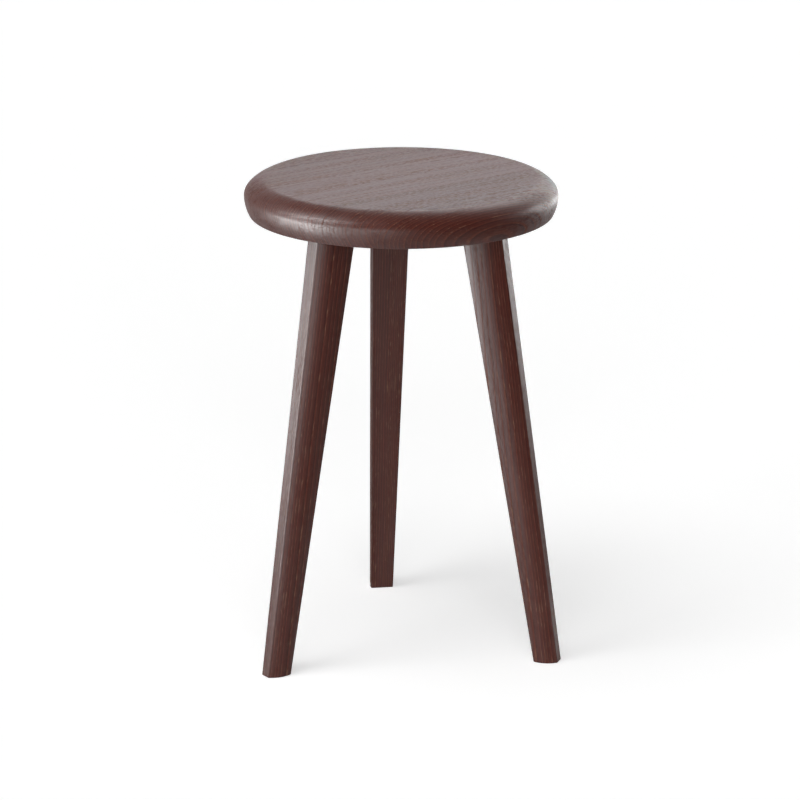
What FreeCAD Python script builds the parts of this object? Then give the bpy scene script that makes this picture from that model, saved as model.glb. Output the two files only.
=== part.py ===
import FreeCAD, Part
import math
import os

import Sketcher

# Three-legged wooden stool.
# Millimetres, +Z up. The origin lies on the floor, under the middle of the round seat.
# The seat's grain runs along X. The left leg stands at 180 degrees, on the grain's own line,
# and the rear and right legs stand at 60 degrees to each side of +X.
# The seat is a panel of edge-glued staves, turned round and bored from below.
# Each leg ends square against the underside, and three glued dowels hold it there.

DOCUMENT = FreeCAD.newDocument("stool")
SHEET = DOCUMENT.addObject("Spreadsheet::Sheet", "sizes")

# Driving dimensions, in millimetres and degrees, apart from the counts and the shares.
SIZES = {
    # The seat, as a turned disc. Its crest is its widest ring: the shoulder curves up from there
    # to the flat top, and the flank curves down from there to the underside. A curve's share is
    # its radius over its chord.
    "seat_height": 450,
    "seat_thickness": 32,
    "seat_radius": 143.5,
    "crest_drop": 11.5,
    "shoulder_width": 18,
    "shoulder_curve_share": 1.334,
    "flank_width": 4.5,
    "flank_curve_share": 1.739,
    "flat_easing": 15,
    "crest_easing": 5,
    "underside_easing": 1.5,
    "stave_count": 6,
    # A leg's section where it meets the seat. It is set in from the crest by its outer face.
    "leg_set_in": 44.5,
    "leg_depth": 35,
    "leg_inner_width": 35.5,
    "leg_outer_width": 14,
    "leg_side_curve": 35,
    # The same section at the floor. The splay is how far the outer face has moved out by there.
    "leg_splay": 60.5,
    "foot_depth": 22,
    "foot_inner_width": 21.5,
    "foot_outer_width": 9.5,
    "foot_side_curve": 23,
    "foot_easing": 1,
    # Dowels between a leg and the seat: one near the leg's outer face, and a pair near its inner
    # face. Margins are from the dowel's axis to the leg's outer face and to its inner corners, and
    # the inset is from the inner face.
    "dowel_diameter": 10,
    "dowel_length": 45,
    "dowel_in_seat": 21,
    "dowel_end_easing": 1,
    "outer_dowel_margin": 8,
    "paired_dowel_inset": 13.5,
    "paired_dowel_margin": 8.25,
    "flute_count": 12,
    "flute_depth": 0.4,
    "flute_curve": 0.6,
    "glue_gap": 0.1,
    "glue_pocket": 1,
    # Where the first leg stands, counted from the grain's direction.
    "first_leg_angle": 60,
    # How far construction solids run past what they cut.
    "overrun": 5,
}

LEG_NAMES = ("rear", "left", "right")

# Sheet formulas. A reach is from the seat's axis to a leg's inner face.
UNDERSIDE = "sizes.seat_height - sizes.seat_thickness"
STAVE_WIDTH = "2 * sizes.seat_radius / sizes.stave_count"
LEG_REACH = "sizes.seat_radius - sizes.leg_set_in - sizes.leg_depth"
FOOT_REACH = "sizes.seat_radius - sizes.leg_set_in + sizes.leg_splay - sizes.foot_depth"
OUTER_DOWEL_REACH = "sizes.seat_radius - sizes.leg_set_in - sizes.outer_dowel_margin"
PAIRED_DOWEL_REACH = f"{LEG_REACH} + sizes.paired_dowel_inset"
HALF_SPREAD = "(sizes.leg_inner_width / 2 - sizes.paired_dowel_margin)"
SHOULDER_CHORD = "sqrt(sizes.shoulder_width ^ 2 + sizes.crest_drop ^ 2)"
FLANK_CHORD = "sqrt(sizes.flank_width ^ 2 + (sizes.seat_thickness - sizes.crest_drop) ^ 2)"
SHOULDER_RADIUS = f"sizes.shoulder_curve_share * {SHOULDER_CHORD}"
FLANK_RADIUS = f"sizes.flank_curve_share * {FLANK_CHORD}"

# A leg's dowels: a name, the distance out, and the side of the leg's middle plane. The outer
# dowel stands on that plane, and the other two stand half the spread from it.
DOWEL_PLACES = (
    ("outer", OUTER_DOWEL_REACH, 0),
    ("near", PAIRED_DOWEL_REACH, 1),
    ("far", PAIRED_DOWEL_REACH, -1),
)

FULL_TURN = 360
BEVEL_ANGLE = 45
# Heights that differ by less than this are taken as equal.
SAME_HEIGHT = 1e-4
CUBIC_MM_PER_CM3 = 1000


def fill_sheet():
    """Write each size to the sheet as plain text, with its name as the cell's alias."""
    for row, (alias, value) in enumerate(SIZES.items(), start=1):
        SHEET.set(f"A{row}", alias)
        SHEET.set(f"B{row}", str(value))
        SHEET.setAlias(f"B{row}", alias)
    DOCUMENT.recompute()


def size(alias):
    """Read one size back from the sheet."""
    return float(SHEET.get(alias))


def origin_feature(body, role):
    """Find one of a body's own origin planes or axes."""
    for feature in body.Origin.OriginFeatures:
        if feature.Role == role:
            return feature
    raise ValueError(f"{body.Label} has no {role}")


def new_body(label):
    """Start one piece."""
    body = DOCUMENT.addObject("PartDesign::Body", label)
    body.Label = label
    return body


def new_sketch(body, name, role, height=None, turn=None):
    """Attach a sketch to one of the body's own planes, raised and turned by sheet formulas."""
    sketch = body.newObject("Sketcher::SketchObject", name)
    sketch.AttachmentSupport = [(origin_feature(body, role), "")]
    sketch.MapMode = "FlatFace"
    if height:
        sketch.setExpression("AttachmentOffset.Base.z", height)
    if turn:
        sketch.setExpression("AttachmentOffset.Rotation.Angle", turn)
    return sketch


def bind(sketch, kind, name, formula, *where):
    """Add a named sketch constraint and tie it to a sheet formula."""
    index = sketch.addConstraint(Sketcher.Constraint(kind, *where))
    sketch.renameConstraint(index, name)
    sketch.setExpression(f"Constraints.{name}", formula)


def line(start, end):
    """Make a straight sketch edge."""
    return Part.LineSegment(FreeCAD.Vector(*start, 0), FreeCAD.Vector(*end, 0))


def arc(start, end, radius):
    """Make a sketch arc that turns anticlockwise from start to end, with its middle to the left."""
    first = FreeCAD.Vector(*start, 0)
    last = FreeCAD.Vector(*end, 0)
    chord = last - first
    left = FreeCAD.Vector(-chord.y, chord.x, 0).normalize()
    rise = math.sqrt(radius ** 2 - (chord.Length / 2) ** 2)
    middle = (first + last) / 2 + left * rise
    circle = Part.Circle(middle, FreeCAD.Vector(0, 0, 1), radius)
    return Part.ArcOfCircle(circle, circle.parameter(first), circle.parameter(last))


def join_in_ring(sketch, edge_count):
    """Join the end of each sketch edge to the start of the next one, and the last to the first."""
    for edge in range(edge_count):
        following = (edge + 1) % edge_count
        sketch.addConstraint(Sketcher.Constraint("Coincident", edge, 2, following, 1))


def ring_edges(shape, height=None):
    """Name the round edges of a shape, or only those at one height."""
    return [
        f"Edge{number}"
        for number, edge in enumerate(shape.Edges, start=1)
        if isinstance(edge.Curve, Part.Circle)
        and (height is None or abs(edge.Curve.Center.z - height) < SAME_HEIGHT)
        and abs(edge.Curve.Axis.z) > 1 - SAME_HEIGHT
    ]


def add_dressing(body, kind, name, base, edges, setting, formula):
    """Round or bevel the named edges of the feature before."""
    feature = body.newObject(f"PartDesign::{kind}", name)
    feature.Base = (base, edges)
    feature.setExpression(setting, formula)
    DOCUMENT.recompute()
    return feature


def add_pocket(body, name, sketch, formula, upwards):
    """Cut a sketch's outline into the piece, up or down, and check that something was cut."""
    before = body.Shape.Volume
    pocket = body.newObject("PartDesign::Pocket", name)
    pocket.Profile = sketch
    pocket.Reversed = upwards
    pocket.setExpression("Length", formula)
    DOCUMENT.recompute()
    if body.Shape.Volume >= before:
        raise ValueError(f"{name} cut nothing from {body.Label}")
    return pocket


def add_polar_pattern(body, name, feature, formula):
    """Repeat a feature evenly around the piece's own upright axis."""
    pattern = body.newObject("PartDesign::PolarPattern", name)
    pattern.Originals = [feature]
    pattern.Axis = (origin_feature(body, "Z_Axis"), [""])
    pattern.Angle = FULL_TURN
    pattern.setExpression("Occurrences", formula)
    body.Tip = pattern
    DOCUMENT.recompute()
    return pattern


def draw_dowel_bores(sketch):
    """Draw the three bores of one leg, a glue gap wider than the dowels all round."""
    radius = size("dowel_diameter") / 2 + size("glue_gap")
    for index, (name, out, side) in enumerate(DOWEL_PLACES):
        spread = sketch.evalExpression(HALF_SPREAD)
        centre = FreeCAD.Vector(sketch.evalExpression(out), side * spread, 0)
        sketch.addGeometry(Part.Circle(centre, FreeCAD.Vector(0, 0, 1), radius))
        bind(sketch, "DistanceX", f"{name}_out", out, -1, 1, index, 3, centre.x)
        if side:
            ends = (-1, 1, index, 3) if side > 0 else (index, 3, -1, 1)
            bind(sketch, "DistanceY", f"{name}_side", HALF_SPREAD, *ends, spread)
        else:
            sketch.addConstraint(Sketcher.Constraint("PointOnObject", index, 3, -1))
        bind(sketch, "Radius", f"{name}_radius", "sizes.dowel_diameter / 2 + sizes.glue_gap",
             index, radius)


def make_seat_disc():
    """Turn the seat panel and bore it from below. The staves are sliced from it."""
    body = new_body("seat_disc")
    sketch = new_sketch(body, "seat_profile", "XZ_Plane")
    top = size("seat_height")
    bottom = top - size("seat_thickness")
    crest = (size("seat_radius"), top - size("crest_drop"))
    lower_rim = (crest[0] - size("flank_width"), bottom)
    upper_rim = (crest[0] - size("shoulder_width"), top)
    flank_radius = sketch.evalExpression(FLANK_RADIUS)
    shoulder_radius = sketch.evalExpression(SHOULDER_RADIUS)
    sketch.addGeometry([
        line((0, bottom), lower_rim),
        arc(lower_rim, crest, flank_radius),
        arc(crest, upper_rim, shoulder_radius),
        line(upper_rim, (0, top)),
        line((0, top), (0, bottom)),
    ])
    join_in_ring(sketch, 5)
    for edge, kind in ((0, "Horizontal"), (3, "Horizontal"), (4, "Vertical")):
        sketch.addConstraint(Sketcher.Constraint(kind, edge))
    sketch.addConstraint(Sketcher.Constraint("PointOnObject", 0, 1, -2))
    bind(sketch, "DistanceY", "top", "sizes.seat_height", -1, 1, 3, 2, top)
    bind(sketch, "DistanceY", "thickness", "sizes.seat_thickness", 0, 1, 3, 2, top - bottom)
    bind(sketch, "DistanceX", "crest", "sizes.seat_radius", -1, 1, 1, 2, crest[0])
    bind(sketch, "DistanceY", "drop", "sizes.crest_drop", 1, 2, 2, 2, top - crest[1])
    bind(sketch, "DistanceX", "flank", "sizes.flank_width", 0, 2, 1, 2, size("flank_width"))
    bind(sketch, "DistanceX", "shoulder", "sizes.shoulder_width", 2, 2, 1, 2, size("shoulder_width"))
    bind(sketch, "Radius", "flank_curve", FLANK_RADIUS, 1, flank_radius)
    bind(sketch, "Radius", "shoulder_curve", SHOULDER_RADIUS, 2, shoulder_radius)

    turned = body.newObject("PartDesign::Revolution", "turned_disc")
    turned.Profile = sketch
    turned.ReferenceAxis = (sketch, ["V_Axis"])
    turned.Angle = FULL_TURN
    DOCUMENT.recompute()

    for name, height, formula in (
        ("flat_edge", top, "sizes.flat_easing"),
        ("crest_edge", crest[1], "sizes.crest_easing"),
        ("underside_edge", bottom, "sizes.underside_easing"),
    ):
        rings = ring_edges(body.Shape, height)
        turned = add_dressing(body, "Fillet", name, turned, rings, "Radius", formula)

    bores = new_sketch(body, "leg_bores", "XY_Plane", UNDERSIDE, "sizes.first_leg_angle")
    draw_dowel_bores(bores)
    pocket = add_pocket(body, "first_leg_bores", bores, "sizes.dowel_in_seat + sizes.glue_pocket",
                        upwards=True)
    add_polar_pattern(body, "all_leg_bores", pocket, str(len(LEG_NAMES)))
    return body


def make_staves(disc):
    """Slice the disc along its grain into staves of one width. The outer ones run to the rim."""
    count = round(size("stave_count"))
    staves = []
    for number in range(1, count + 1):
        past_start = "sizes.overrun" if number == 1 else "0"
        past_end = "sizes.overrun" if number == count else "0"
        slice_box = DOCUMENT.addObject("Part::Box", f"stave_slice_{number}")
        slice_box.setExpression("Length", "2 * (sizes.seat_radius + sizes.overrun)")
        slice_box.setExpression("Width", f"{STAVE_WIDTH} + {past_start} + {past_end}")
        slice_box.setExpression("Height", "sizes.seat_thickness + 2 * sizes.overrun")
        slice_box.setExpression("Placement.Base.x", "-sizes.seat_radius - sizes.overrun")
        slice_box.setExpression("Placement.Base.y",
                                f"{number - 1} * {STAVE_WIDTH} - sizes.seat_radius - {past_start}")
        slice_box.setExpression("Placement.Base.z", f"{UNDERSIDE} - sizes.overrun")
        label = f"seat_stave_{number}"
        stave = DOCUMENT.addObject("Part::Common", label)
        stave.Label = label
        stave.Base = disc
        stave.Tool = slice_box
        staves.append(stave)
    DOCUMENT.recompute()
    return staves


def draw_leg_section(sketch, end, reach):
    """Draw a leg's section: a broad inner face, a narrow outer face and two bowed sides."""
    depth, inner, outer, curve = (
        f"{end}_{part}" for part in ("depth", "inner_width", "outer_width", "side_curve")
    )
    near = sketch.evalExpression(reach)
    far = near + size(depth)
    half_inner = size(inner) / 2
    half_outer = size(outer) / 2
    sketch.addGeometry([
        line((near, half_inner), (near, -half_inner)),
        arc((near, -half_inner), (far, -half_outer), size(curve)),
        line((far, -half_outer), (far, half_outer)),
        arc((far, half_outer), (near, half_inner), size(curve)),
    ])
    join_in_ring(sketch, 4)
    for edge in (0, 2):
        sketch.addConstraint(Sketcher.Constraint("Symmetric", edge, 1, edge, 2, -1))
    sketch.addConstraint(Sketcher.Constraint("Equal", 1, 3))
    bind(sketch, "DistanceX", "reach", reach, -1, 1, 0, 1, near)
    bind(sketch, "DistanceX", "depth", f"sizes.{depth}", 0, 1, 2, 2, far - near)
    bind(sketch, "DistanceY", "inner_width", f"sizes.{inner}", 0, 2, 0, 1, 2 * half_inner)
    bind(sketch, "DistanceY", "outer_width", f"sizes.{outer}", 2, 1, 2, 2, 2 * half_outer)
    bind(sketch, "Radius", "side_curve", f"sizes.{curve}", 1, size(curve))


def leg_angle(index):
    """Give the sheet formula of a leg's angle around the seat."""
    return f"(sizes.first_leg_angle + {index} * {FULL_TURN} / {len(LEG_NAMES)})"


def make_leg(index, name):
    """Build one tapered leg along +X, then turn it to its place."""
    body = new_body(f"leg_{name}")
    foot = new_sketch(body, f"{name}_foot_section", "XY_Plane", "sizes.foot_easing")
    draw_leg_section(foot, "foot", FOOT_REACH)
    head = new_sketch(body, f"{name}_head_section", "XY_Plane", UNDERSIDE)
    draw_leg_section(head, "leg", LEG_REACH)
    DOCUMENT.recompute()

    taper = body.newObject("PartDesign::AdditiveLoft", f"{name}_taper")
    taper.Profile = foot
    taper.Sections = [head]
    taper.Ruled = True
    DOCUMENT.recompute()

    sole = body.newObject("PartDesign::Pad", f"{name}_bevelled_sole")
    sole.Profile = foot
    sole.Reversed = True
    sole.TaperAngle = -BEVEL_ANGLE
    sole.setExpression("Length", "sizes.foot_easing")
    DOCUMENT.recompute()

    bores = new_sketch(body, f"{name}_bores", "XY_Plane", UNDERSIDE)
    draw_dowel_bores(bores)
    add_pocket(body, f"{name}_dowel_bores", bores,
               "sizes.dowel_length - sizes.dowel_in_seat + sizes.glue_pocket", upwards=False)
    body.setExpression("Placement.Rotation.Angle", leg_angle(index))
    DOCUMENT.recompute()
    return body


def make_dowel(leg_index, leg_name, place, out, side):
    """Build one fluted dowel, upright, half in the leg and half in the seat."""
    label = f"dowel_{leg_name}_{place}"
    body = new_body(label)
    sketch = new_sketch(body, f"{label}_round", "XY_Plane")
    radius = size("dowel_diameter") / 2
    sketch.addGeometry(Part.Circle(FreeCAD.Vector(), FreeCAD.Vector(0, 0, 1), radius))
    sketch.addConstraint(Sketcher.Constraint("Coincident", 0, 3, -1, 1))
    bind(sketch, "Radius", "radius", "sizes.dowel_diameter / 2", 0, radius)
    rod = body.newObject("PartDesign::Pad", f"{label}_rod")
    rod.Profile = sketch
    rod.setExpression("Length", "sizes.dowel_length")
    DOCUMENT.recompute()

    ends = ring_edges(rod.Shape)
    add_dressing(body, "Chamfer", f"{label}_ends", rod, ends, "Size", "sizes.dowel_end_easing")

    groove = new_sketch(body, f"{label}_groove", "XY_Plane")
    groove_radius = size("flute_curve")
    out_to_groove = radius + groove_radius - size("flute_depth")
    groove.addGeometry(Part.Circle(FreeCAD.Vector(out_to_groove, 0, 0),
                                   FreeCAD.Vector(0, 0, 1), groove_radius))
    groove.addConstraint(Sketcher.Constraint("PointOnObject", 0, 3, -1))
    bind(groove, "DistanceX", "out", "sizes.dowel_diameter / 2 + sizes.flute_curve - sizes.flute_depth",
         -1, 1, 0, 3, out_to_groove)
    bind(groove, "Radius", "radius", "sizes.flute_curve", 0, groove_radius)
    flute = add_pocket(body, f"{label}_flute", groove, "sizes.dowel_length", upwards=True)
    add_polar_pattern(body, f"{label}_flutes", flute, "sizes.flute_count")

    angle = f"{leg_angle(leg_index)} * 1deg"
    across = f"{side} * {HALF_SPREAD}"
    body.setExpression("Placement.Base.x", f"({out}) * cos({angle}) - {across} * sin({angle})")
    body.setExpression("Placement.Base.y", f"({out}) * sin({angle}) + {across} * cos({angle})")
    body.setExpression("Placement.Base.z", f"{UNDERSIDE} + sizes.dowel_in_seat - sizes.dowel_length")
    DOCUMENT.recompute()
    return body


def check_model(pieces):
    """Stop if any object failed to build or any piece is empty or broken."""
    for item in DOCUMENT.Objects:
        faults = {"Invalid", "Error"}.intersection(item.State)
        if faults:
            raise ValueError(f"{item.Label} is {faults}")
    for piece in pieces:
        if piece.Shape.isNull() or not piece.Shape.isValid() or not piece.Shape.Solids:
            raise ValueError(f"{piece.Label} has no valid solid")


def main():
    """Build every piece, check the model and write one file for each piece."""
    fill_sheet()
    disc = make_seat_disc()
    pieces = make_staves(disc)
    for index, name in enumerate(LEG_NAMES):
        pieces.append(make_leg(index, name))
        for place, out, side in DOWEL_PLACES:
            pieces.append(make_dowel(index, name, place, out, side))
    DOCUMENT.recompute()
    check_model(pieces)
    os.makedirs("parts", exist_ok=True)
    for piece in pieces:
        piece.Shape.exportStep(f"parts/{piece.Label}.step")
        box = piece.Shape.optimalBoundingBox()
        print(f"{piece.Label}: {piece.Shape.Volume / CUBIC_MM_PER_CM3:.2f} cm3, "
              f"{len(piece.Shape.Solids)} solid, z {box.ZMin:.2f} to {box.ZMax:.2f}")


main()
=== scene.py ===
"""A low three-legged stool of stained ash, dressed for a plain studio picture.

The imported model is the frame. The staves and the legs are built again here with finer curves and
eased edges, each as a board of solid wood with growth rings of its own. Lengths are in millimetres
until a mesh is made, in metres after that, and angles are in degrees.
"""

import logging
import math
from collections.abc import Mapping, Sequence
from dataclasses import dataclass
from enum import Enum
from typing import Any, Union

import bmesh
import bpy
import numpy as np
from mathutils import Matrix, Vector

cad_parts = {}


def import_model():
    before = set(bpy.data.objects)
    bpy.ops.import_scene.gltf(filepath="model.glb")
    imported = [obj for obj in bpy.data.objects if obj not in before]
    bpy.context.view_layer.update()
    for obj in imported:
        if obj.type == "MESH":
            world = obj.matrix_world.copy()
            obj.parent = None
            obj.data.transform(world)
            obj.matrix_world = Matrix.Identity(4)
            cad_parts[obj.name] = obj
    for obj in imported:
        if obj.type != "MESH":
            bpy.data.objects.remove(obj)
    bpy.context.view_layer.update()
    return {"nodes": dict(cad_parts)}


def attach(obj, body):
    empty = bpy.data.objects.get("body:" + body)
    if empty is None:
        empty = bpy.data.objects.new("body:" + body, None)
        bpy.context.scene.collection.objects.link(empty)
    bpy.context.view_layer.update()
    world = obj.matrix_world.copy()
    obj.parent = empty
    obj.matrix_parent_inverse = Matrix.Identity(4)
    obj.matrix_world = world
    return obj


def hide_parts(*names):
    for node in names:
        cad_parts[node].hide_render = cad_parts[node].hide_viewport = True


LOG = logging.getLogger("stool")
ROOT_BODY = "root"

# A millimetre in metres.
METRES = 0.001

# The mesh attributes that carry a board's space and traits to its material.
GRAIN_PLACE = "grain_place"
BOARD_TRAITS = "board_traits"

# How far apart the figures of two boards lie along the grain, in millimetres.
SERIAL_SPACING = 700.0

# Faces that meet at a sharper turn than this, in degrees, keep a crisp edge between them.
CRISP_TURN = 38.0

# How near to a saw cut a point has to be to count as on it, in metres.
CUT_TOLERANCE = 1e-7

# A leg's upright length, and how much farther out its foot stands than its head, in millimetres.
LEG_HEIGHT = 418.0
LEG_SPREAD = 67.0

# The way to the camera's right, in degrees from the part's X axis. Bearings are counted from it.
CAMERA_RIGHT = -37.92

# The bearing of the camera itself.
CAMERA_BEARING = -90.0

# Where the far lamps hang, how high a card lies on the floor and how far the floor lies below
# the soles, in metres. The first has no effect on the light.
SUN_HEIGHT = 3.0
CARD_LIFT = 0.001
FLOOR_DROP = 0.0001

Point = tuple[float, float]
Triple = tuple[float, float, float]
Colour = tuple[float, float, float, float]
Operand = Union["Value", float]

# What a place is multiplied by to leave out its part along the grain.
ACROSS_GRAIN: Triple = (0.0, 1.0, 1.0)

WHITE: Colour = (1.0, 1.0, 1.0, 1.0)


class Slot(Enum):
    """The record's material slots."""

    SEAT = "seat_wood"
    LEG = "leg_wood"
    DOWEL = "dowel_wood"


@dataclass(frozen=True, eq=False)
class Value:
    """One output of a shader node, which takes part in plain arithmetic.

    Args:
        canvas: the node tree that the output belongs to.
        socket: the output itself.
    """

    canvas: "Canvas"
    socket: bpy.types.NodeSocket | None

    def _math(self, operation: str, *operands: Operand) -> "Value":
        """Adds one Math node."""
        return self.canvas.node(
            "ShaderNodeMath", {"operation": operation}, dict(enumerate(operands))
        )

    def __add__(self, other: Operand) -> "Value":
        """Adds a number or an output."""
        return self._math("ADD", self, other)

    def __radd__(self, other: Operand) -> "Value":
        """Is added to a number."""
        return self._math("ADD", other, self)

    def __sub__(self, other: Operand) -> "Value":
        """Takes a number or an output away."""
        return self._math("SUBTRACT", self, other)

    def __rsub__(self, other: Operand) -> "Value":
        """Is taken away from a number."""
        return self._math("SUBTRACT", other, self)

    def __mul__(self, other: Operand) -> "Value":
        """Multiplies by a number or an output."""
        return self._math("MULTIPLY", self, other)

    def __rmul__(self, other: Operand) -> "Value":
        """Multiplies a number."""
        return self._math("MULTIPLY", other, self)

    def __truediv__(self, other: Operand) -> "Value":
        """Divides by a number or an output."""
        return self._math("DIVIDE", self, other)

    def fraction(self) -> "Value":
        """Keeps what is past the whole number."""
        return self._math("FRACT", self)

    def whole(self) -> "Value":
        """Rounds down."""
        return self._math("FLOOR", self)

    def ramp(self, low: float, high: float) -> "Value":
        """Turns a range into 0 to 1 with eased ends. Low may be the larger of the two.

        Args:
            low: what becomes 0.
            high: what becomes 1.

        Returns:
            The eased share of the way from low to high.
        """
        return self.canvas.node(
            "ShaderNodeMapRange",
            {"interpolation_type": "SMOOTHSTEP"},
            {"Value": self, "From Min": low, "From Max": high},
        )


@dataclass(frozen=True)
class Canvas:
    """The node tree of a material or of the world.

    Args:
        tree: the tree to draw in.
    """

    tree: bpy.types.NodeTree

    def node(
        self,
        kind: str,
        settings: Mapping[str, Any] | None = None,
        sockets: Mapping[int | str, Any] | None = None,
        output: int | str = 0,
    ) -> Value:
        """Adds one node.

        Args:
            kind: the node's type.
            settings: its own settings, which are set first.
            sockets: values or links for its inputs, by name or number.
            output: which of its outputs to give back.

        Returns:
            That output, ready for maths or for a link.
        """
        made = self.tree.nodes.new(kind)
        for name, value in (settings or {}).items():
            setattr(made, name, value)
        for name, value in (sockets or {}).items():
            if isinstance(value, Value):
                self.tree.links.new(value.socket, made.inputs[name])
            else:
                made.inputs[name].default_value = value
        return Value(self, made.outputs[output] if made.outputs else None)

    def noise(self, place: Value, size: Triple, detail: float) -> Value:
        """Adds a noise pattern.

        Args:
            place: where.
            size: about how large its features are along each axis, in the place's unit.
            detail: how many finer layers it has.

        Returns:
            A number around 0.5.
        """
        features = self.node("ShaderNodeVectorMath", {"operation": "DIVIDE"}, {0: place, 1: size})
        return self.node(
            "ShaderNodeTexNoise", sockets={"Vector": features, "Scale": 1.0, "Detail": detail}
        )

    def blend(self, share: Operand, first: Value | Colour, second: Value | Colour) -> Value:
        """Mixes two colours.

        Args:
            share: how much of the second one shows, from 0 to 1.
            first: the colour at 0.
            second: the colour at 1.

        Returns:
            The mixed colour.
        """
        return self.node(
            "ShaderNodeMix",
            {"data_type": "RGBA"},
            {"Factor": share, 6: first, 7: second},
            output=2,
        )

    def seen_directly(self) -> Value:
        """Tells whether a ray comes from the camera, off a gloss or through glass.

        Returns:
            1 where it does, and 0 elsewhere.
        """
        camera, glossy, through = (
            self.node("ShaderNodeLightPath", output=f"Is {kind} Ray")
            for kind in ("Camera", "Glossy", "Transmission")
        )
        return (camera + glossy + through).ramp(0.0, 1.0)


def new_material(name: str) -> tuple[bpy.types.Material, Canvas]:
    """Starts an empty material.

    Args:
        name: the material's name.

    Returns:
        The material and its node tree.
    """
    material = bpy.data.materials.new(name)
    material.use_nodes = True
    material.node_tree.nodes.clear()
    return material, Canvas(material.node_tree)


@dataclass(frozen=True)
class StainedAsh:
    """Open-pored ash, stained dark red-brown and lacquered to a satin sheen.

    The pattern is worked out in the board's own space, so that end grain, quarter grain and flat
    grain meet at every edge. Two mesh attributes carry it: each point's place in the board, with
    the grain along X and the pith on the X axis, and the board's ring width, sway and tone.
    Each size is about that of one feature, along the grain and across it, in millimetres.

    Args:
        heart: the colour of the dense wood between the rows of pores.
        early: the colour of the porous early wood.
        pore: the colour inside an open pore.
        late: the colour of the hard line that ends a ring.
        late_strength: how much of that colour shows, from 0 to 1.
        wood_roughness: how rough the wood under the lacquer is.
        lacquer_ior: how strongly the lacquer mirrors.
        lacquer_roughness: how blurred its reflections are.
        lacquer_cover: how fully it covers dense wood, from 0 to 1.
        relief: how deep the open pores are, in millimetres.
        relief_strength: how strongly that depth tells, from 0 to 1.
        pore_size: one open pore.
        clump_size: a clump of pores.
        figure_size: a stretch of livelier grain.
        dash_size: a short dash that the lacquer has sunk into.
        fibre_size: a fine streak of lighter or darker wood.
        fibre_contrast: how strongly it tells.
        cloud_size: a broad cloud of lighter or darker wood.
        cloud_contrast: how strongly it tells.
        sway_size: a slow bend of the rings.
        sway_reach: how far it carries them, in millimetres.
        ripple_size: a small bend of the rings.
        ripple_reach: how far it carries them, in millimetres.
        spell: how far a spell of wide or narrow rings reaches across the grain.
        spell_gain: how many rings it adds or takes away.
    """

    heart: Colour = (0.060, 0.0122, 0.0078, 1.0)
    early: Colour = (0.112, 0.0330, 0.0215, 1.0)
    pore: Colour = (0.170, 0.0850, 0.0580, 1.0)
    late: Colour = (0.034, 0.0065, 0.0048, 1.0)
    late_strength: float = 0.8
    wood_roughness: float = 0.6
    lacquer_ior: float = 1.22
    lacquer_roughness: float = 0.42
    lacquer_cover: float = 0.98
    relief: float = 0.11
    relief_strength: float = 0.5
    pore_size: Triple = (9.0, 0.85, 0.85)
    clump_size: Triple = (16.0, 2.6, 2.6)
    figure_size: Triple = (280.0, 7.0, 7.0)
    dash_size: Triple = (4.5, 1.5, 1.5)
    fibre_size: Triple = (60.0, 1.3, 1.3)
    fibre_contrast: float = 0.56
    cloud_size: Triple = (90.0, 16.0, 16.0)
    cloud_contrast: float = 0.24
    sway_size: Triple = (170.0, 60.0, 60.0)
    sway_reach: float = 4.0
    ripple_size: Triple = (40.0, 9.0, 9.0)
    ripple_reach: float = 0.9
    spell: float = 11.0
    spell_gain: float = 1.4

    def material(self, name: str) -> bpy.types.Material:
        """Builds the finish.

        Args:
            name: the material's name.

        Returns:
            The material.
        """
        material, canvas = new_material(name)
        place, traits = (
            canvas.node("ShaderNodeAttribute", {"attribute_name": attribute}, output="Vector")
            for attribute in (GRAIN_PLACE, BOARD_TRAITS)
        )
        ring_width, waviness, tone = (
            canvas.node("ShaderNodeSeparateXYZ", sockets={"Vector": traits}, output=axis)
            for axis in "XYZ"
        )
        ring, phase = self._rings(canvas, place, ring_width, waviness)
        vigour = canvas.node(
            "ShaderNodeTexWhiteNoise", {"noise_dimensions": "1D"}, {"W": ring}, output="Value"
        )
        early = phase.ramp(0.0, 0.05) * phase.ramp(0.36, 0.12) * (0.55 + 0.45 * vigour)
        late = phase.ramp(0.66, 0.90) * phase.ramp(1.0, 0.97)
        figure = canvas.noise(place, self.figure_size, 1.0).ramp(0.34, 0.66)
        pores = self._pores(canvas, place) * (0.12 + 0.88 * early) * (0.5 + figure)
        dash = canvas.noise(place, self.dash_size, 2.0).ramp(0.34, 0.66) * (0.4 + 0.8 * figure)
        fibre = canvas.noise(place, self.fibre_size, 3.0) - 0.5
        cloud = canvas.noise(place, self.cloud_size, 2.0) - 0.5

        colour = canvas.blend(early, self.heart, self.early)
        colour = canvas.blend(late * self.late_strength, colour, self.late)
        colour = canvas.blend(pores, colour, self.pore)
        light = tone + self.fibre_contrast * fibre + self.cloud_contrast * cloud
        colour = canvas.node(
            "ShaderNodeVectorMath", {"operation": "SCALE"}, {0: colour, "Scale": light}
        )
        cover = self.lacquer_cover - 0.5 * pores - 0.55 * early - 0.4 * dash - 0.4 * fibre
        bump = canvas.node(
            "ShaderNodeBump",
            sockets={
                "Strength": self.relief_strength,
                "Distance": self.relief * METRES,
                "Height": 0.3 * fibre - pores - 0.2 * dash - 0.55 * early,
            },
        )
        shader = canvas.node(
            "ShaderNodeBsdfPrincipled",
            sockets={
                "Base Color": colour,
                "Roughness": self.wood_roughness + 0.2 * pores,
                "Specular IOR Level": 0.0,
                "Coat Weight": cover,
                "Coat Roughness": self.lacquer_roughness,
                "Coat IOR": self.lacquer_ior,
                "Normal": bump,
            },
        )
        canvas.node("ShaderNodeOutputMaterial", sockets={"Surface": shader})
        return material

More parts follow.
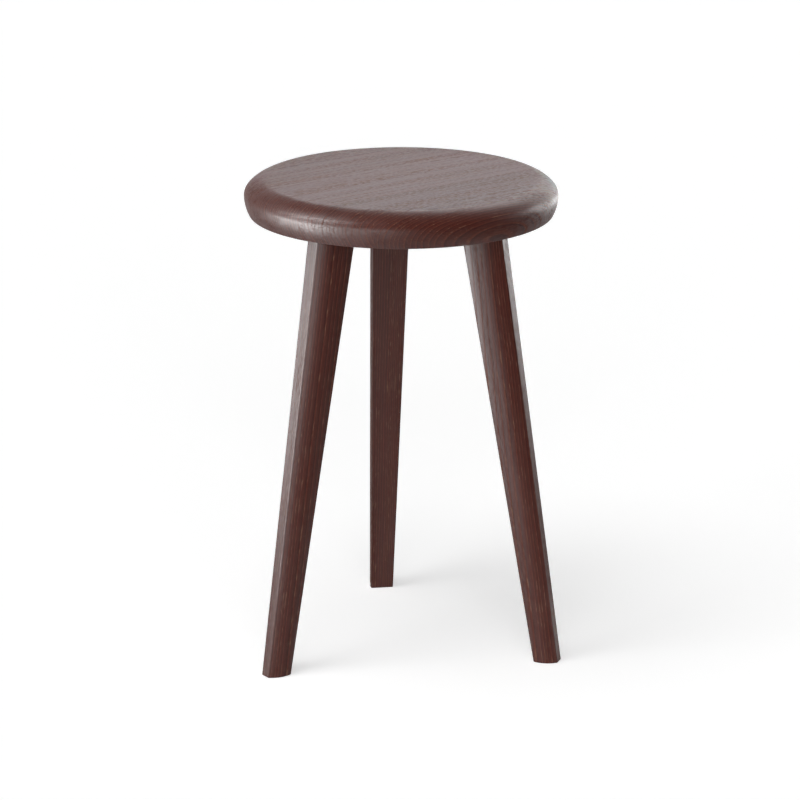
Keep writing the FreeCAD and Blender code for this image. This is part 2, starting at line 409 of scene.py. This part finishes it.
    def _rings(
        self, canvas: Canvas, place: Value, ring_width: Value, waviness: Value
    ) -> tuple[Value, Value]:
        """Works out the growth rings.

        Args:
            canvas: the node tree.
            place: the place in the board, in millimetres.
            ring_width: the board's mean ring width, in millimetres.
            waviness: how far the board's rings sway.

        Returns:
            The number of the ring and how far through it the place lies, from 0 to 1.
        """
        sway = canvas.noise(place, self.sway_size, 1.0) - 0.5
        ripple = canvas.noise(place, self.ripple_size, 1.0) - 0.5
        flat = canvas.node(
            "ShaderNodeVectorMath", {"operation": "MULTIPLY"}, {0: place, 1: ACROSS_GRAIN}
        )
        radius = canvas.node(
            "ShaderNodeVectorMath", {"operation": "LENGTH"}, {0: flat}, output="Value"
        )
        radius = radius + self.sway_reach * waviness * sway + self.ripple_reach * ripple
        pace = canvas.node(
            "ShaderNodeTexNoise",
            {"noise_dimensions": "1D"},
            {"W": radius / self.spell, "Scale": 1.0, "Detail": 1.0},
        )
        growth = radius / ring_width + self.spell_gain * pace
        return growth.whole(), growth.fraction()

    def _pores(self, canvas: Canvas, place: Value) -> Value:
        """Scatters open pores in loose clumps, each a few millimetres along the grain.

        Args:
            canvas: the node tree.
            place: the place in the board, in millimetres.

        Returns:
            How open the wood is there, from 0 to 1.
        """
        single = canvas.noise(place, self.pore_size, 1.0).ramp(0.51, 0.67)
        clump = canvas.noise(place, self.clump_size, 1.0).ramp(0.36, 0.64)
        return single * (0.3 + 0.7 * clump)


@dataclass(frozen=True)
class BareBeech:
    """Pale, close-grained beech without a finish, for the dowels inside the joints.

    Args:
        colour: the wood's colour.
        fleck: the colour of its flecks.
        roughness: how rough it is.
        fibre_size: about how large a streak is along each axis, in metres.
        fleck_size: the same for a fleck.
    """

    colour: Colour = (0.72, 0.54, 0.36, 1.0)
    fleck: Colour = (0.50, 0.32, 0.19, 1.0)
    roughness: float = 0.6
    fibre_size: Triple = (0.018, 0.0007, 0.018)
    fleck_size: Triple = (0.0006, 0.0006, 0.004)

    def material(self, name: str) -> bpy.types.Material:
        """Builds the finish.

        Args:
            name: the material's name.

        Returns:
            The material.
        """
        material, canvas = new_material(name)
        place = canvas.node("ShaderNodeTexCoord", output="Object")
        fibre = canvas.noise(place, self.fibre_size, 3.0)
        fleck = canvas.noise(place, self.fleck_size, 1.0).ramp(0.58, 0.68)
        colour = canvas.blend(0.6 * fleck + 0.3 * fibre, self.colour, self.fleck)
        shader = canvas.node(
            "ShaderNodeBsdfPrincipled",
            sockets={"Base Color": colour, "Roughness": self.roughness + 0.2 * fibre},
        )
        canvas.node("ShaderNodeOutputMaterial", sockets={"Surface": shader})
        return material


@dataclass(frozen=True)
class Board:
    """How one piece lies in the tree that it was sawn from.

    Args:
        pith: a point on the pith, in the mesh's own frame, in millimetres.
        grain: the grain's direction.
        across: a direction across the grain.
        ring_width: the mean width of a growth ring, in millimetres.
        waviness: how far its rings sway, around 1.
        tone: how light it is, around 1.
        serial: sets the board's figure apart from the others.
    """

    pith: Triple
    grain: Triple = (1.0, 0.0, 0.0)
    across: Triple = (0.0, 1.0, 0.0)
    ring_width: float = 4.0
    waviness: float = 1.0
    tone: float = 1.0
    serial: int = 0

    def mark(self, mesh: bpy.types.Mesh) -> None:
        """Writes the board's space and traits to a mesh.

        Args:
            mesh: the piece's mesh, in metres.
        """
        along = Vector(self.grain).normalized()
        depth = along.cross(Vector(self.across)).normalized()
        across = depth.cross(along)
        axes = np.array([along, across, depth])
        points = np.empty(len(mesh.vertices) * 3)
        mesh.vertices.foreach_get("co", points)
        places = (points.reshape(-1, 3) / METRES - np.array(self.pith)) @ axes.T
        places[:, 0] += SERIAL_SPACING * self.serial
        traits = np.tile((self.ring_width, self.waviness, self.tone), (len(places), 1))
        for name, values in ((GRAIN_PLACE, places), (BOARD_TRAITS, traits)):
            attribute = mesh.attributes.new(name, "FLOAT_VECTOR", "POINT")
            attribute.data.foreach_set("vector", values.astype(np.float32).ravel())


def dress(
    name: str, mesh: bpy.types.Mesh, material: bpy.types.Material
) -> bpy.types.Object:
    """Makes a wooden piece of a mesh, with crisp arrises and true normals on its flat faces.

    Args:
        name: the piece's name, which is its CAD node's name with _wood added.
        mesh: its mesh.
        material: its finish.

    Returns:
        The piece, riding on the frame.
    """
    mesh.shade_smooth()
    mesh.set_sharp_from_angle(angle=math.radians(CRISP_TURN))
    mesh.materials.append(material)
    piece = bpy.data.objects.new(name, mesh)
    bpy.context.scene.collection.objects.link(piece)
    weigh = piece.modifiers.new("true_normals", "WEIGHTED_NORMAL")
    weigh.keep_sharp = True
    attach(piece, ROOT_BODY)
    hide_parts(name.removesuffix("_wood"))
    LOG.info("%s: %d faces", name, len(mesh.polygons))
    return piece


@dataclass(frozen=True)
class Circle:
    """A circle in a section, for the curves of the seat's rim and of the legs' bowed sides.

    Args:
        x: its middle's distance from the seat's axis.
        z: its middle's height in the seat, or in a leg its distance to the side.
        radius: its radius.
    """

    x: float
    z: float
    radius: float

    @classmethod
    def through(cls, start: Point, end: Point, radius: float) -> "Circle":
        """Finds the circle that runs anticlockwise from start to end.

        Args:
            start: where it starts.
            end: where it ends.
            radius: its radius.

        Returns:
            The circle.
        """
        chord = Vector(end) - Vector(start)
        rise = math.sqrt(radius**2 - (chord.length / 2) ** 2)
        middle = (Vector(start) + Vector(end)) / 2 + chord.orthogonal().normalized() * rise
        return cls(middle.x, middle.y, radius)

    def rounding_at_height(self, height: float, radius: float, inward: int) -> "Circle":
        """Fits a smaller circle inside this one and against a level line.

        Args:
            height: the line's height.
            radius: the smaller circle's radius.
            inward: which way the solid lies from the line, 1 for up and -1 for down.

        Returns:
            The smaller circle.
        """
        level = height + inward * radius
        reach = math.sqrt((self.radius - radius) ** 2 - (level - self.z) ** 2)
        return Circle(self.x + reach, level, radius)

    def rounding_with(self, other: "Circle", radius: float) -> "Circle":
        """Fits a smaller circle inside this one and another one, on their outer side.

        Args:
            other: the other circle.
            radius: the smaller circle's radius.

        Returns:
            The smaller circle.
        """
        here, there = Vector((self.x, self.z)), Vector((other.x, other.z))
        gap = there - here
        near, far = self.radius - radius, other.radius - radius
        along = (gap.length**2 + near**2 - far**2) / (2 * gap.length)
        side = math.sqrt(near**2 - along**2)
        foot = here + gap.normalized() * along
        across = gap.orthogonal().normalized() * side
        middle = max((foot + across, foot - across), key=lambda point: point.x)
        return Circle(middle.x, middle.y, radius)

    def towards(self, other: "Circle") -> Point:
        """Gives this circle's point in the direction of another one's middle."""
        way = (Vector((other.x, other.z)) - Vector((self.x, self.z))).normalized()
        return self.x + way.x * self.radius, self.z + way.y * self.radius

    def sweep(self, start: Point, end: Point, step: float) -> list[Point]:
        """Walks along the circle.

        Args:
            start: where to start.
            end: where to end.
            step: the largest turn from one point to the next, in degrees.

        Returns:
            The points, both ends included.
        """
        first = math.atan2(start[1] - self.z, start[0] - self.x)
        last = math.atan2(end[1] - self.z, end[0] - self.x)
        count = max(2, math.ceil(abs(math.degrees(last - first)) / step) + 1)
        return [
            (self.x + self.radius * math.cos(turn), self.z + self.radius * math.sin(turn))
            for turn in np.linspace(first, last, count)
        ]


@dataclass
class Seat:
    """The round seat: six staves of ash glued edge to edge, turned to a soft rim.

    Args:
        top: the height of the flat top.
        thickness: the panel's thickness.
        radius: the widest ring, the crest.
        crest_drop: how far the crest lies below the top.
        shoulder_width: how far the shoulder reaches in from the crest.
        shoulder_radius: the shoulder's curve.
        flank_width: how far the flank reaches in from the crest.
        flank_radius: the flank's curve.
        flat_easing: the rounding where the shoulder meets the flat.
        crest_easing: the rounding at the crest.
        underside_easing: the rounding at the lower edge.
        shoulder_turn: the largest turn between two points of the shoulder, in degrees.
        crest_turn: the same at the crest.
        flank_turn: the same on the flank.
        underside_turn: the same at the lower edge.
        ring_steps: how many steps make a full turn.
        boards: the staves, from the -Y side to the +Y side. The third and the fifth have the same
            figure.
    """

    top: float = 450.0
    thickness: float = 32.0
    radius: float = 143.5
    crest_drop: float = 11.5
    shoulder_width: float = 18.0
    shoulder_radius: float = 28.49
    flank_width: float = 4.5
    flank_radius: float = 36.5
    flat_easing: float = 15.0
    crest_easing: float = 10.0
    underside_easing: float = 1.5
    shoulder_turn: float = 2.0
    crest_turn: float = 4.0
    flank_turn: float = 2.5
    underside_turn: float = 12.0
    ring_steps: int = 288
    boards: Sequence[Board] = (
        Board((0.0, -186.0, 401.0), (1.0, 0.004, 0.0), ring_width=2.9, tone=0.84, serial=1),
        Board((0.0, -166.0, 432.0), (1.0, 0.006, 0.0), ring_width=3.5, tone=0.88, serial=2),
        Board((0.0, -150.0, 456.0), (1.0, 0.0, 0.0), ring_width=3.5, tone=1.0, serial=3),
        Board((0.0, -70.0, 460.0), (1.0, -0.008, 0.0), ring_width=3.3, tone=1.04, serial=4),
        Board((0.0, -54.0, 456.0), (1.0, 0.0, 0.0), ring_width=3.5, tone=1.0, serial=3),
        Board((0.0, 205.0, 440.0), (1.0, 0.01, 0.0), ring_width=3.6, tone=0.96, serial=6),
    )

    def profile(self) -> list[Point]:
        """Draws half the upright section.

        Returns:
            Distances from the axis and heights, from the middle of the top, round the rim, to the
            middle of the underside.
        """
        bottom = self.top - self.thickness
        crest = (self.radius, self.top - self.crest_drop)
        flat_edge = (self.radius - self.shoulder_width, self.top)
        foot_edge = (self.radius - self.flank_width, bottom)
        shoulder = Circle.through(crest, flat_edge, self.shoulder_radius)
        flank = Circle.through(foot_edge, crest, self.flank_radius)
        upper = shoulder.rounding_at_height(self.top, self.flat_easing, -1)
        middle = shoulder.rounding_with(flank, self.crest_easing)
        lower = flank.rounding_at_height(bottom, self.underside_easing, 1)
        joins = [
            (upper.x, self.top),
            shoulder.towards(upper),
            shoulder.towards(middle),
            flank.towards(middle),
            flank.towards(lower),
            (lower.x, bottom),
        ]
        return [
            (0.0, self.top),
            *upper.sweep(joins[0], joins[1], self.shoulder_turn),
            *shoulder.sweep(joins[1], joins[2], self.shoulder_turn)[1:-1],
            *middle.sweep(joins[2], joins[3], self.crest_turn),
            *flank.sweep(joins[3], joins[4], self.flank_turn)[1:-1],
            *lower.sweep(joins[4], joins[5], self.underside_turn),
            (0.0, bottom),
        ]

    def turned(self) -> bmesh.types.BMesh:
        """Turns the profile into a closed disc.

        Returns:
            The disc, in metres.
        """
        disc = bmesh.new()
        profile = self.profile()
        turns = np.linspace(0.0, math.tau, self.ring_steps, endpoint=False)
        rings = [
            [
                disc.verts.new(Vector((r * math.cos(t), r * math.sin(t), z)) * METRES)
                for t in turns
            ]
            for r, z in profile[1:-1]
        ]
        poles = [disc.verts.new((0.0, 0.0, profile[end][1] * METRES)) for end in (0, -1)]
        for index in range(self.ring_steps):
            after = (index + 1) % self.ring_steps
            disc.faces.new((poles[0], rings[0][index], rings[0][after]))
            disc.faces.new((poles[1], rings[-1][after], rings[-1][index]))
            for upper, lower in zip(rings, rings[1:]):
                disc.faces.new((upper[index], lower[index], lower[after], upper[after]))
        return disc

    def build(self, material: bpy.types.Material) -> list[bpy.types.Object]:
        """Slices the disc into its staves.

        Args:
            material: the staves' finish.

        Returns:
            The staves.
        """
        disc = self.turned()
        width = 2 * self.radius / len(self.boards)
        staves = []
        for index, board in enumerate(self.boards):
            stave = disc.copy()
            sides = []
            if index > 0:
                sides.append((index * width - self.radius, -1.0))
            if index < len(self.boards) - 1:
                sides.append(((index + 1) * width - self.radius, 1.0))
            for y, away in sides:
                bmesh.ops.bisect_plane(
                    stave,
                    geom=[*stave.verts, *stave.edges, *stave.faces],
                    dist=CUT_TOLERANCE,
                    plane_co=(0.0, y * METRES, 0.0),
                    plane_no=(0.0, away, 0.0),
                    clear_outer=True,
                )
                bmesh.ops.holes_fill(
                    stave, edges=[edge for edge in stave.edges if edge.is_boundary], sides=0
                )
            name = f"seat_stave_{index + 1}"
            mesh = bpy.data.meshes.new(name)
            stave.to_mesh(mesh)
            stave.free()
            board.mark(mesh)
            staves.append(dress(f"{name}_wood", mesh, material))
        disc.free()
        return staves


@dataclass(frozen=True)
class Section:
    """A leg's section at one height, in the leg's own frame, where X points away from the seat.

    Args:
        reach: from the seat's axis to the inner face.
        depth: from the inner face to the outer one.
        inner_width: the broad face's width.
        outer_width: the narrow face's width.
        side_radius: the curve of the two bowed sides.
        arris: the rounding of the four long edges.
    """

    reach: float
    depth: float
    inner_width: float
    outer_width: float
    side_radius: float
    arris: float = 0.7

    def outline(self, side_steps: int = 14, corner_steps: int = 5) -> np.ndarray:
        """Draws the section.

        Args:
            side_steps: how many points each bowed side has.
            corner_steps: how many points each rounded corner has.

        Returns:
            The points, anticlockwise from above, one row each.
        """
        near, far = self.reach, self.reach + self.depth
        inner, outer = self.inner_width / 2, self.outer_width / 2
        right = self._side((near, -inner), (far, -outer), side_steps)
        left = self._side((far, outer), (near, inner), side_steps)
        faces = [
            np.array([(near, inner), (near, -inner)]),
            right,
            np.array([(far, -outer), (far, outer)]),
            left,
        ]
        trimmed = [self._trimmed(face) for face in faces]
        points = []
        for index, face in enumerate(trimmed):
            following = trimmed[(index + 1) % len(trimmed)]
            corner = faces[index][-1]
            points.extend(face)
            points.extend(self._rounded(face[-1], corner, following[0], corner_steps))
        return np.array(points)

    def _side(self, start: Point, end: Point, steps: int) -> np.ndarray:
        """Draws a bowed side.

        Args:
            start: where it starts.
            end: where it ends.
            steps: how many points it has.

        Returns:
            The points, both ends included.
        """
        circle = Circle.through(start, end, self.side_radius)
        first = math.atan2(start[1] - circle.z, start[0] - circle.x)
        last = math.atan2(end[1] - circle.z, end[0] - circle.x)
        last = first + (last - first) % math.tau
        turns = np.linspace(first, last, steps)
        return np.stack(
            [
                circle.x + circle.radius * np.cos(turns),
                circle.z + circle.radius * np.sin(turns),
            ],
            axis=1,
        )

    def _trimmed(self, face: np.ndarray) -> np.ndarray:
        """Draws a face's ends back by the arris.

        Args:
            face: its points.

        Returns:
            A copy with the two ends moved.
        """
        face = face.copy()
        for end, beside in ((0, 1), (-1, -2)):
            way = face[beside] - face[end]
            face[end] = face[end] + way / np.linalg.norm(way) * self.arris
        return face

    @staticmethod
    def _rounded(
        start: np.ndarray, corner: np.ndarray, end: np.ndarray, steps: int
    ) -> list[np.ndarray]:
        """Rounds a corner off between two points, without the points themselves."""
        shares = np.linspace(0.0, 1.0, steps + 2)[1:-1]
        return [(1 - s) ** 2 * start + 2 * s * (1 - s) * corner + s**2 * end for s in shares]


@dataclass
class Leg:
    """One splayed, tapering leg, with a bevelled sole and a head cut flush with the seat.

    Args:
        name: the leg's name.
        turn: its direction from the seat's axis, in degrees.
        board: how it was sawn, in the leg's own frame.
        height: from the floor to the seat's underside.
        head: its section at the seat.
        foot: its section at the floor.
        sole: heights and insets of the rows that round the sole.
        head_easing: the hairline bevel where the leg meets the seat.
        rows: how many rows of faces run down the leg, above the sole's rounding.
    """

    name: str
    turn: float
    board: Board
    height: float = LEG_HEIGHT
    head: Section = Section(64.0, 35.0, 35.5, 14.0, 35.0)
    foot: Section = Section(137.5, 22.0, 21.5, 9.5, 23.0)
    sole: Sequence[Point] = ((0.0, 1.0), (0.12, 0.62), (0.38, 0.28), (0.70, 0.08), (1.0, 0.0))
    head_easing: float = 0.3
    rows: int = 14

    def build(self, material: bpy.types.Material) -> bpy.types.Object:
        """Builds the leg.

        Args:
            material: its finish.

        Returns:
            The leg.
        """
        foot, head = self.foot.outline(), self.head.outline()
        start = self.sole[-1][0]
        shaft = np.linspace(start, self.height - self.head_easing, self.rows)[1:]
        levels = [
            *self.sole,
            *((height, 0.0) for height in shaft),
            (self.height, self.head_easing),
        ]
        rows = []
        for height, inset in levels:
            share = max(0.0, (height - start) / (self.height - start))
            row = foot + (head - foot) * share
            row = row - self._outward(row) * inset
            rows.append(np.column_stack([row, np.full(len(row), height)]))
        points = np.concatenate(rows)
        count = len(foot)
        faces = [
            (
                low * count + index,
                low * count + (index + 1) % count,
                (low + 1) * count + (index + 1) % count,
                (low + 1) * count + index,
            )
            for low in range(len(rows) - 1)
            for index in range(count)
        ]
        faces.append(tuple(reversed(range(count))))
        faces.append(tuple(range((len(rows) - 1) * count, len(rows) * count)))
        mesh = bpy.data.meshes.new(self.name)
        mesh.from_pydata((points * METRES).tolist(), [], faces)
        self.board.mark(mesh)
        self._turn_to_place(mesh)
        return dress(f"{self.name}_wood", mesh, material)

    @staticmethod
    def _outward(row: np.ndarray) -> np.ndarray:
        """Works out which way is out at each point of an outline.

        Args:
            row: the points, anticlockwise.

        Returns:
            A direction of length 1 for each of them.
        """
        along = np.roll(row, -1, axis=0) - np.roll(row, 1, axis=0)
        normal = np.column_stack([along[:, 1], -along[:, 0]])
        return normal / np.linalg.norm(normal, axis=1, keepdims=True)

    def _turn_to_place(self, mesh: bpy.types.Mesh) -> None:
        """Turns the leg from its own frame to its place round the seat.

        Args:
            mesh: the leg's mesh, in metres.
        """
        angle = math.radians(self.turn)
        points = np.empty(len(mesh.vertices) * 3)
        mesh.vertices.foreach_get("co", points)
        out, side, height = points.reshape(-1, 3).T
        x = out * math.cos(angle) - side * math.sin(angle)
        y = out * math.sin(angle) + side * math.cos(angle)
        mesh.vertices.foreach_set("co", np.column_stack([x, y, height]).ravel())
        mesh.update()


@dataclass
class Dowels:
    """The nine fluted dowels inside the joints, which keep their CAD shape.

    Args:
        nodes: the CAD nodes by name.
    """

    nodes: Mapping[str, bpy.types.Object]

    def build(self, material: bpy.types.Material) -> list[bpy.types.Object]:
        """Gives the dowels their finish.

        Args:
            material: bare wood.

        Returns:
            The dowels.
        """
        dowels = [node for name, node in self.nodes.items() if name.startswith("dowel_")]
        for dowel in dowels:
            for place in dowel.material_slots:
                place.material = material
            LOG.info("%s: kept from the frame", dowel.name)
        return dowels


def heading(bearing: float, elevation: float) -> Vector:
    """Turns a direction as the camera sees it into one in the part's frame.

    Args:
        bearing: counted anticlockwise from the camera's right, in degrees.
        elevation: above the floor, in degrees.

    Returns:
        A vector of length 1.
    """
    turn, lift = math.radians(bearing + CAMERA_RIGHT), math.radians(elevation)
    return Vector(
        (math.cos(turn) * math.cos(lift), math.sin(turn) * math.cos(lift), math.sin(lift))
    )


def hang(name: str, lamp: bpy.types.Light, way: Vector, place: Vector) -> bpy.types.Object:
    """Hangs a lamp up so that it shines against a direction.

    Only light sampling finds the lamp and no stray ray does, so that a card that shows as gloss
    alone adds nothing to the colour under the lacquer.

    Args:
        name: its name.
        lamp: its light.
        way: the direction from the stool to the lamp.
        place: where it hangs.

    Returns:
        The lamp, which the camera doesn't see.
    """
    hung = bpy.data.objects.new(name, lamp)
    hung.location = place
    hung.rotation_euler = (-way).to_track_quat("-Z", "Y").to_euler()
    hung.visible_camera = False
    lamp.cycles.use_multiple_importance_sampling = False
    bpy.context.scene.collection.objects.link(hung)
    return hung


@dataclass(frozen=True)
class Skylight:
    """A broad, far lamp that lights the stool and the floor evenly.

    Args:
        name: its name.
        bearing: its direction, counted from the camera's right, in degrees.
        elevation: how high it stands, in degrees.
        level: how light a white face square to it is, where 1 is white.
        spread: how wide it looks, in degrees.
    """

    name: str
    bearing: float
    elevation: float
    level: float
    spread: float = 40.0

    def place(self) -> None:
        """Hangs it up."""
        lamp = bpy.data.lights.new(self.name, "SUN")
        lamp.angle = math.radians(self.spread)
        lamp.energy = math.pi * self.level
        way = heading(self.bearing, self.elevation)
        hung = hang(self.name, lamp, way, Vector((0.0, 0.0, SUN_HEIGHT)))
        hung.visible_glossy = False


@dataclass(frozen=True)
class GlossCard:
    """A bright upright card that shows only as sheen on the lacquer.

    Args:
        name: its name.
        bearing: its direction, counted from the camera's right, in degrees.
        distance: how far it stands from the seat's axis, in metres.
        width: its width, in metres.
        low: the height of its lower edge, in metres.
        high: the height of its upper edge, in metres.
        brightness: how bright it is, where 1 is white.
    """

    name: str
    bearing: float
    distance: float
    width: float
    low: float
    high: float
    brightness: float

    def place(self) -> None:
        """Stands it up."""
        lamp = bpy.data.lights.new(self.name, "AREA")
        lamp.shape = "RECTANGLE"
        lamp.size, lamp.size_y = self.width, self.high - self.low
        lamp.energy = self.brightness * math.pi * lamp.size * lamp.size_y
        way = heading(self.bearing, 0.0)
        middle = Vector((0.0, 0.0, (self.low + self.high) / 2))
        card = hang(self.name, lamp, way, way * self.distance + middle)
        card.visible_diffuse = False


@dataclass(frozen=True)
class FloorCard:
    """A bright square card on the floor that shows only as sheen on the lacquer.

    Args:
        name: its name.
        bearing: its direction, counted from the camera's right, in degrees.
        distance: from the seat's axis to its middle, in metres.
        side: the length of its side, in metres.
        brightness: how bright it is, where 1 is white.
    """

    name: str
    bearing: float
    distance: float
    side: float
    brightness: float

    def place(self) -> None:
        """Lays it down."""
        lamp = bpy.data.lights.new(self.name, "AREA")
        lamp.size = self.side
        lamp.energy = self.brightness * math.pi * self.side**2
        middle = heading(self.bearing, 0.0) * self.distance + Vector((0.0, 0.0, CARD_LIFT))
        card = hang(self.name, lamp, Vector((0.0, 0.0, -1.0)), middle)
        card.visible_diffuse = False


@dataclass
class Studio:
    """A white floor in a white surround, soft lamps and the photograph's camera.

    Args:
        camera_distance: from the stool's axis, along the floor, in metres.
        camera_height: above the floor, in metres.
        camera_pitch: how far the camera looks down, in degrees.
        camera_reach: how far it sees, in metres.
        camera_shift: how far its frame is shifted to the right, as a share of the frame's width.
        lens: its focal length, in millimetres.
        sensor: the width of its sensor, in millimetres.
        floor_size: the side of the square floor, in metres.
        floor_colour: what the floor is painted.
        floor_lift: what directly seen floor adds, so that unshaded floor is white.
        lamps: the lamps and the cards.
    """

    camera_distance: float = 2.843
    camera_height: float = 1.11475
    camera_pitch: float = 17.15
    camera_reach: float = 100.0
    camera_shift: float = -0.0015
    lens: float = 143.737
    sensor: float = 36.0
    floor_size: float = 40.0
    floor_colour: Colour = (0.64, 0.64, 0.64, 1.0)
    floor_lift: float = 0.58
    lamps: Sequence[Skylight | GlossCard | FloorCard] = (
        Skylight("left_light", 208.0, 15.0, 0.50),
        Skylight("front_light", 270.0, 15.0, 0.55),
        Skylight("high_light", 225.0, 68.0, 0.42),
        GlossCard("left_card", 188.0, 0.9, 0.4, 0.1, 0.44, 70.0),
        GlossCard("left_front_card", 210.0, 0.9, 0.35, 0.0, 0.44, 84.0),
        GlossCard("left_middle_card", 198.0, 0.9, 0.6, 0.44, 0.9, 17.0),
        GlossCard("left_high_card", 196.0, 0.9, 0.6, 0.9, 1.6, 68.0),
        GlossCard("front_card", 250.0, 1.2, 0.5, 0.0, 0.44, 26.0),
        GlossCard("right_low_card", 48.0, 1.5, 0.9, 0.05, 0.35, 10.5),
        GlossCard("right_card", 48.0, 1.5, 0.9, 0.4, 1.2, 5.0),
        GlossCard("right_front_card", 28.0, 1.5, 0.5, 0.35, 1.2, 17.0),
        GlossCard("right_back_card", 66.0, 1.5, 0.5, 0.35, 1.2, 2.2),
        GlossCard("back_card", 88.0, 2.5, 2.2, 0.75, 1.6, 1.32),
        GlossCard("back_high_card", 75.0, 1.5, 1.2, 1.3, 3.0, 9.6),
        FloorCard("front_floor_card", 285.0, 0.3, 0.9, 1.9),
        FloorCard("left_floor_card", 220.0, 0.65, 0.8, 2.3),
    )

    def build(self) -> None:
        """Sets up the floor, the surround, the lamps and the camera."""
        self._lay_floor()
        self._surround()
        for lamp in self.lamps:
            lamp.place()
            LOG.info("%s: placed", lamp.name)
        self._place_camera()

    def _lay_floor(self) -> None:
        """Lays a floor that keeps the stool's shadow and can't be seen from below."""
        half = self.floor_size / 2
        mesh = bpy.data.meshes.new("floor")
        corners = [
            (x * half, y * half, -FLOOR_DROP) for x, y in ((-1, -1), (1, -1), (1, 1), (-1, 1))
        ]
        mesh.from_pydata(corners, [], [(0, 1, 2, 3)])
        material, canvas = new_material("studio_floor")
        lift = self.floor_lift * canvas.seen_directly()
        paint = canvas.node("ShaderNodeBsdfDiffuse", sockets={"Color": self.floor_colour})
        glow = canvas.node("ShaderNodeEmission", sockets={"Strength": lift})
        both = canvas.node("ShaderNodeAddShader", sockets={0: paint, 1: glow})
        clear = canvas.node("ShaderNodeBsdfTransparent")
        below = canvas.node("ShaderNodeNewGeometry", output="Backfacing")
        shader = canvas.node("ShaderNodeMixShader", sockets={"Fac": below, 1: both, 2: clear})
        canvas.node("ShaderNodeOutputMaterial", sockets={"Surface": shader})
        mesh.materials.append(material)
        floor = bpy.data.objects.new("floor", mesh)
        bpy.context.scene.collection.objects.link(floor)

    def _surround(self) -> None:
        """Makes the surround white to the eye and in gloss, and dark for everything else."""
        world = bpy.data.worlds.new("surround")
        bpy.context.scene.world = world
        world.use_nodes = True
        world.node_tree.nodes.clear()
        canvas = Canvas(world.node_tree)
        light = canvas.node(
            "ShaderNodeBackground", sockets={"Color": WHITE, "Strength": canvas.seen_directly()}
        )
        canvas.node("ShaderNodeOutputWorld", sockets={"Surface": light})

    def _place_camera(self) -> None:
        """Stands the camera where the photograph was taken from."""
        camera = bpy.data.cameras.new("photo_camera")
        camera.lens = self.lens
        camera.sensor_width = self.sensor
        camera.shift_x = self.camera_shift
        camera.clip_end = self.camera_reach
        made = bpy.data.objects.new("photo_camera", camera)
        made.location = heading(CAMERA_BEARING, 0.0) * self.camera_distance
        made.location.z = self.camera_height
        made.rotation_euler = (
            math.radians(90.0 - self.camera_pitch),
            0.0,
            math.radians(CAMERA_RIGHT),
        )
        bpy.context.scene.collection.objects.link(made)
        bpy.context.scene.camera = made


def leg_board(outward: float, side: float, lean: float, **traits: float) -> Board:
    """Describes a leg's board in the leg's own frame, with the grain down the leg's middle.

    Args:
        outward: how far the pith lies from the seat's axis at mid height, in millimetres.
        side: how far it lies to the leg's side, in millimetres.
        lean: how far the grain leans to the side, as a slope.
        traits: the board's other values.

    Returns:
        The board.
    """
    pith = (outward, side, LEG_HEIGHT / 2)
    return Board(pith, (-LEG_SPREAD, LEG_HEIGHT * lean, LEG_HEIGHT), **traits)


def main() -> None:
    """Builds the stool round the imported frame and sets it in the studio."""
    logging.basicConfig(level=logging.INFO, format="%(name)s: %(message)s")
    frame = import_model()
    view = bpy.context.scene.view_settings
    view.view_transform = "Standard"

    ash = StainedAsh()
    Seat().build(ash.material("seat_ash"))
    leg_ash = StainedAsh(pore=(0.200, 0.1050, 0.0700, 1.0)).material("leg_ash")
    legs = (
        Leg(
            "leg_rear",
            60.0,
            leg_board(95.0, -170.0, 0.0, ring_width=2.2, waviness=0.6, tone=0.86, serial=11),
        ),
        Leg(
            "leg_left",
            180.0,
            leg_board(160.0, -62.0, 0.0, ring_width=2.8, waviness=0.6, tone=0.86, serial=12),
        ),
        Leg(
            "leg_right",
            -60.0,
            leg_board(160.0, 62.0, 0.01, ring_width=2.8, waviness=1.3, tone=0.9, serial=13),
        ),
    )
    for leg in legs:
        leg.build(leg_ash)
    Dowels(frame["nodes"]).build(BareBeech().material("bare_beech"))
    Studio().build()


if __name__ == "__main__":
    main()
